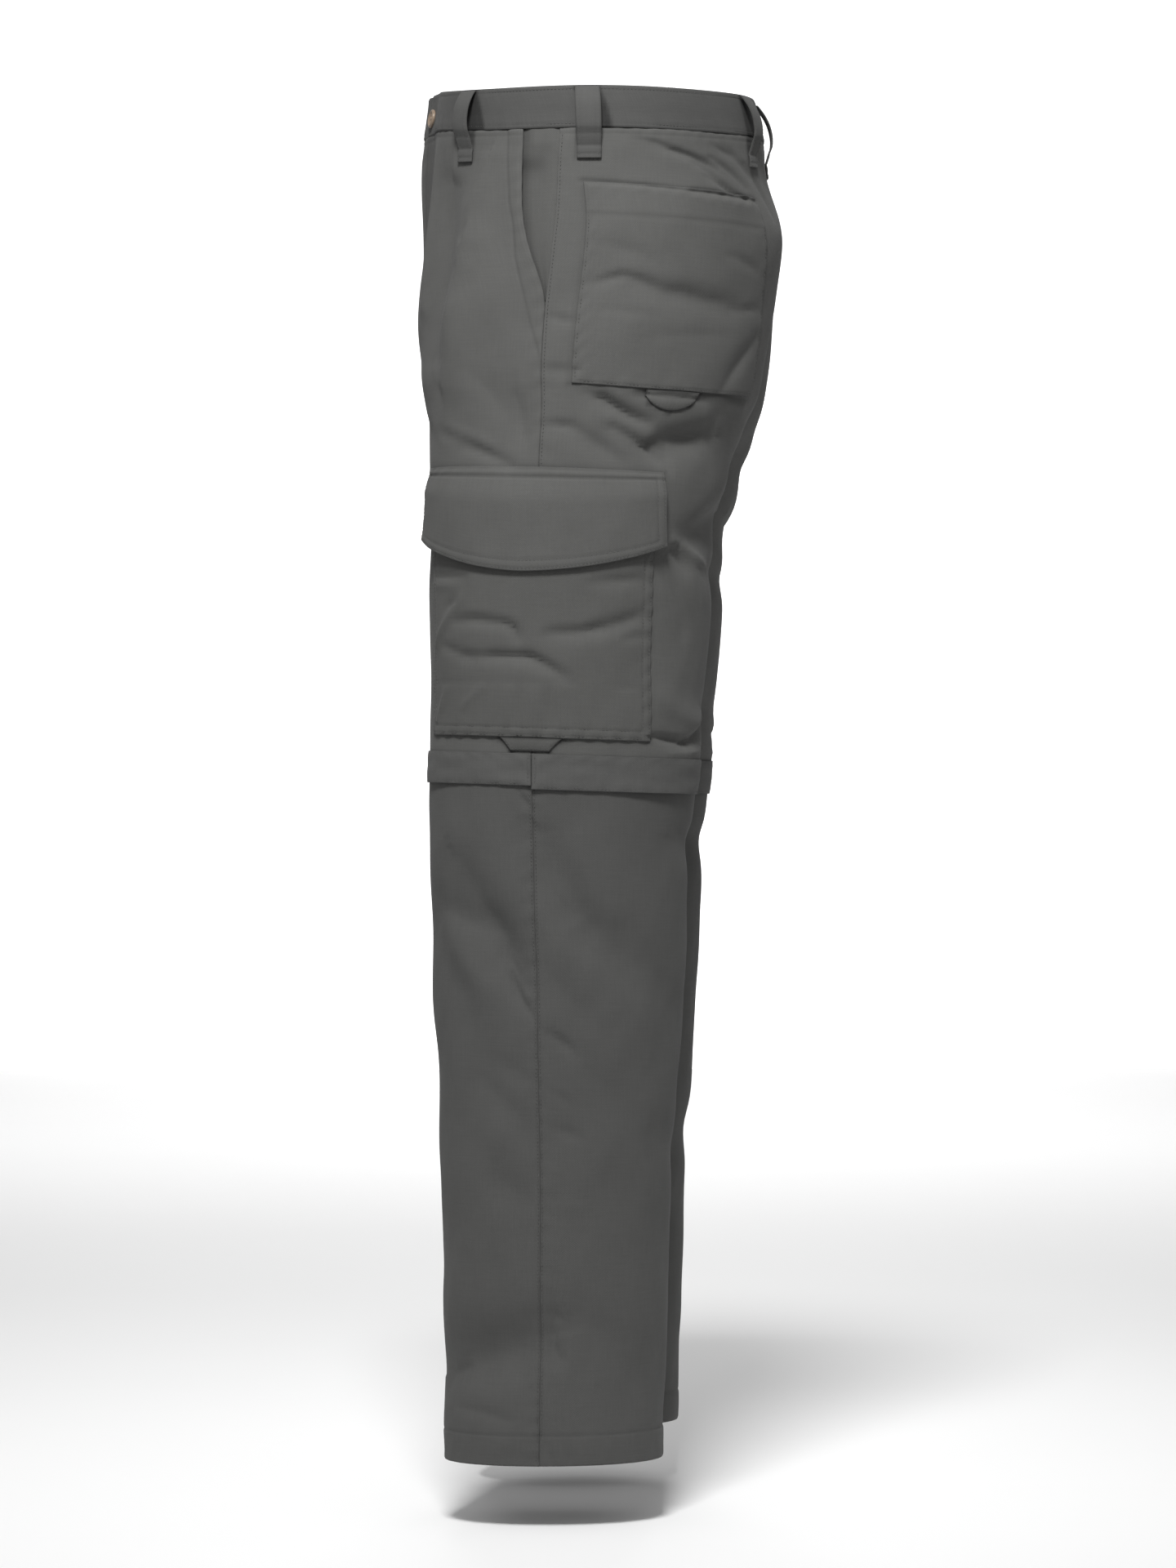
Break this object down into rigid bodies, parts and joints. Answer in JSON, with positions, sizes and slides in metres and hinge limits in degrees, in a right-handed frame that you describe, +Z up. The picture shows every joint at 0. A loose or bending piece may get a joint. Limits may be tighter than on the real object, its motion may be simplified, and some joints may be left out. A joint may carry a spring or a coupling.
{
  "type": "convertible zip-off trousers",
  "caption": "Dark grey twill work trousers in hollow worn form, with belt loops, slant, back and cargo pockets and lower legs that zip off at the knee.",
  "frame": {"origin": "middle of the waist, half way up the waistband, where the wearer holds the trousers up", "axes": "+X to the wearer's left, +Y to the wearer's back, +Z up"},
  "size_m": [0.403, 0.2945, 1.081],
  "materials": {
    "twill": "matte cotton twill, dark grey",
    "twill_lower": "matte cotton twill, in the shade of the lower leg",
    "twill_pocket": "matte cotton twill",
    "twill_band": "matte cotton twill, pressed",
    "tape": "woven zip tape",
    "button": "horn-like resin, satin"
  },
  "bodies": {
    "root": {"waistband_left": "twill_band", "waistband_right": "twill_band", "belt_loop_front_left": "twill_band", "belt_loop_side_left": "twill_band", "belt_loop_back_left": "twill_band", "belt_loop_centre_back": "twill_band", "belt_loop_back_right": "twill_band", "belt_loop_side_right": "twill_band", "belt_loop_front_right": "twill_band", "button": "button", "fly_shield": "twill", "front_left": "twill", "front_right": "twill", "back_left": "twill", "back_right": "twill", "pocket_facing_left": "twill_pocket", "pocket_facing_right": "twill_pocket", "back_pocket_left": "twill", "back_pocket_right": "twill", "back_tab_left": "twill", "back_tab_right": "twill", "cargo_pocket_left": "twill_pocket", "cargo_pocket_right": "twill_pocket", "cargo_flap_left": "twill", "cargo_flap_right": "twill", "cargo_tab_left": "twill_pocket", "cargo_tab_right": "twill_pocket", "zip_left": "tape", "zip_right": "tape", "zip_cover_front_left": "twill_band", "zip_cover_front_right": "twill_band", "zip_cover_back_left": "twill_band", "zip_cover_back_right": "twill_band", "lower_front_left": "twill_lower", "lower_front_right": "twill_lower", "lower_back_left": "twill_lower", "lower_back_right": "twill_lower"}
  },
  "joints": []
}
